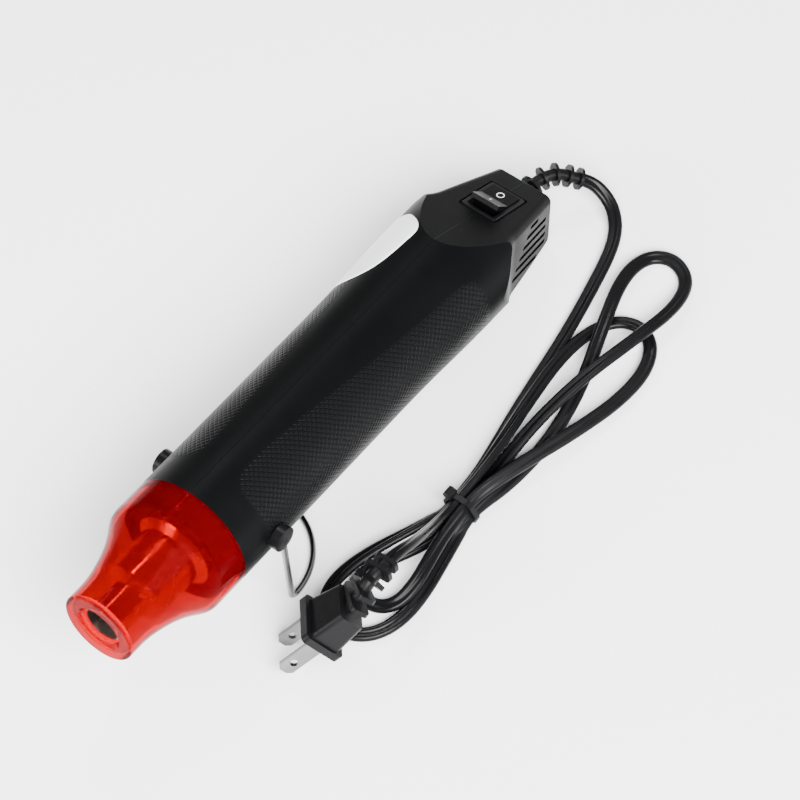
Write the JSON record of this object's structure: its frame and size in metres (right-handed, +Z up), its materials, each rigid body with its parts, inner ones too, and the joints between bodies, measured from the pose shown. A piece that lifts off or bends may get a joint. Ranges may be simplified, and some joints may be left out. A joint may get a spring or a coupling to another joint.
{
  "type": "embossing heat tool",
  "caption": "Slim black hand-held hot-air tool with a translucent red nozzle guard, rocker switch, folding wire bail and a bundled flat mains cord with a two-blade plug.",
  "frame": {"origin": "on the surface under the middle of the tool's own box, the cord and plug left out", "axes": "+X towards the tail, -X towards the hot-air mouth, +Z up, +Y to the tool's left side seen from the tail; the tool lies with its nose 6.5 degrees up on its bail"},
  "size_m": [0.2664, 0.1033, 0.0697],
  "materials": {
    "shell": "black, fine diamond texture on the grip",
    "guard": "translucent red",
    "steel": "drawn steel",
    "ceramic": "black heat-proof moulding",
    "mica": "mica board",
    "heater_wire": "resistance wire",
    "bright_metal": "plated",
    "magnet": "dark",
    "inner_plastic": "natural nylon",
    "board": "phenolic board",
    "black_plastic": "fine matte",
    "brass": "plain",
    "label": "white sticker",
    "cord_sleeve": "soft vinyl",
    "tie": "coated wire",
    "plug": "moulded vinyl",
    "blade": "nickel plated",
    "wire": "bright wire",
    "rocker": "polished"
  },
  "bodies": {
    "housing": {"left_shell": "shell", "right_shell": "shell", "nozzle_guard": "guard", "steel_nozzle": "steel", "front_ring": "ceramic", "rear_ring": "ceramic", "mica_sleeve": "mica", "heater_former": "mica", "heating_coil": "heater_wire", "thermal_cutout": "bright_metal", "fan_shroud": "inner_plastic", "motor_can": "bright_metal", "motor_magnets": "magnet", "motor_end_cap": "inner_plastic", "motor_cradle": "inner_plastic", "rectifier_board": "board", "rectifier_diodes": "black_plastic", "smoothing_capacitor": "black_plastic", "switch_body": "black_plastic", "switch_terminals": "brass", "housing_screws": "bright_metal", "side_label": "label", "strain_relief": "cord_sleeve", "cord_clamp": "black_plastic", "clamp_screws": "bright_metal", "inner_cord": "cord_sleeve", "heater_wires": "cord_sleeve", "cord_lead": "cord_sleeve", "cord_hank": "cord_sleeve", "cord_tail": "cord_sleeve", "cord_tie": "tie", "plug_body": "plug", "plug_blades": "blade"},
    "stand": {"bail_stand": "wire", "left_pivot_cap": "black_plastic", "right_pivot_cap": "black_plastic"},
    "rocker": {"switch_rocker": "rocker"},
    "rotor": {"fan_impeller": "inner_plastic", "motor_shaft": "bright_metal", "motor_armature": "magnet"}
  },
  "joints": [
    {"name": "stand_fold", "type": "hinge", "parent": "housing", "child": "stand", "pos_m": [-0.05363, 0, 0.04295], "axis": [0, 1, 0], "range_deg": [-18, 96]},
    {"name": "rocker_tilt", "type": "hinge", "parent": "housing", "child": "rocker", "pos_m": [0.10078, 0, 0.03333], "axis": [0, -1, 0], "range_deg": [0, 22]},
    {"name": "fan_spin", "type": "hinge", "parent": "housing", "child": "rotor", "pos_m": [0.01443, 0, 0.03519], "axis": [0.9936, 0, -0.1132], "continuous": true}
  ]
}
